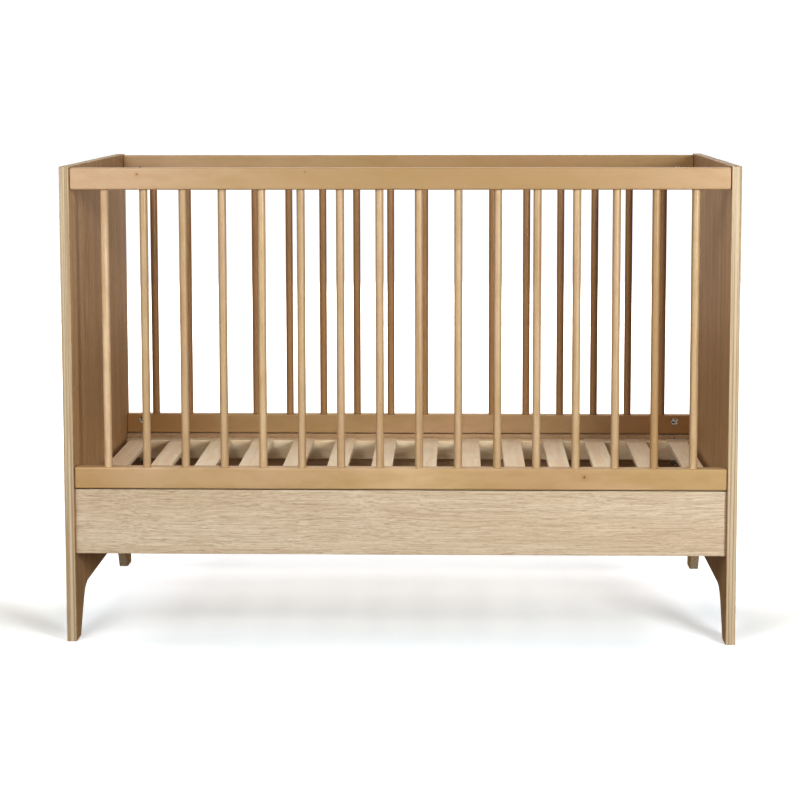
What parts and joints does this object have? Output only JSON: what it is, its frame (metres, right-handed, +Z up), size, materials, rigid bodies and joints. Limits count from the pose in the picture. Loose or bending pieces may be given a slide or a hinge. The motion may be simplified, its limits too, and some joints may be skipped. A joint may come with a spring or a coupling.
{
  "type": "baby crib",
  "caption": "Baby crib with two solid end panels on integral tapered legs, barred long sides over apron boards, and a height-adjustable slatted bed base.",
  "frame": {"origin": "on the floor under the middle of the crib", "axes": "+X along the crib to its right, +Y from the front side to the rear side, +Z up"},
  "size_m": [1.24, 0.66, 0.884],
  "materials": {
    "oak_melamine": "satin melamine board printed with light oak grain, edges banded to match",
    "lacquered_beech": "clear satin lacquer on warm tan solid wood",
    "pale_pine": "planed, unfinished pale pine",
    "zinc_plated_steel": "bright zinc plating",
    "dowel_beech": "plain turned beech"
  },
  "bodies": {
    "crib_frame": {"alignment_dowels": "dowel_beech", "base_support_pegs": "zinc_plated_steel", "cam_bolts": "zinc_plated_steel", "cam_locks": "zinc_plated_steel", "front_apron": "oak_melamine", "front_bottom_rail": "lacquered_beech", "front_spindle_01": "lacquered_beech", "front_spindle_02": "lacquered_beech", "front_spindle_03": "lacquered_beech", "front_spindle_04": "lacquered_beech", "front_spindle_05": "lacquered_beech", "front_spindle_06": "lacquered_beech", "front_spindle_07": "lacquered_beech", "front_spindle_08": "lacquered_beech", "front_spindle_09": "lacquered_beech", "front_spindle_10": "lacquered_beech", "front_spindle_11": "lacquered_beech", "front_spindle_12": "lacquered_beech", "front_spindle_13": "lacquered_beech", "front_spindle_14": "lacquered_beech", "front_spindle_15": "lacquered_beech", "front_spindle_16": "lacquered_beech", "front_top_rail": "lacquered_beech", "left_end_panel": "oak_melamine", "rear_apron": "oak_melamine", "rear_bottom_rail": "lacquered_beech", "rear_spindle_01": "lacquered_beech", "rear_spindle_02": "lacquered_beech", "rear_spindle_03": "lacquered_beech", "rear_spindle_04": "lacquered_beech", "rear_spindle_05": "lacquered_beech", "rear_spindle_06": "lacquered_beech", "rear_spindle_07": "lacquered_beech", "rear_spindle_08": "lacquered_beech", "rear_spindle_09": "lacquered_beech", "rear_spindle_10": "lacquered_beech", "rear_spindle_11": "lacquered_beech", "rear_spindle_12": "lacquered_beech", "rear_spindle_13": "lacquered_beech", "rear_spindle_14": "lacquered_beech", "rear_spindle_15": "lacquered_beech", "rear_spindle_16": "lacquered_beech", "rear_top_rail": "lacquered_beech", "right_end_panel": "oak_melamine"},
    "bed_base": {"front_base_rail": "pale_pine", "rear_base_rail": "pale_pine", "slat_01": "pale_pine", "slat_02": "pale_pine", "slat_03": "pale_pine", "slat_04": "pale_pine", "slat_05": "pale_pine", "slat_06": "pale_pine", "slat_07": "pale_pine", "slat_08": "pale_pine", "slat_09": "pale_pine", "slat_10": "pale_pine", "slat_11": "pale_pine", "slat_12": "pale_pine", "slat_13": "pale_pine", "slat_14": "pale_pine"}
  },
  "joints": [
    {"name": "bed_base_height", "type": "slide", "parent": "crib_frame", "child": "bed_base", "axis": [0, 0, 1], "range_m": [0, 0.22]}
  ]
}
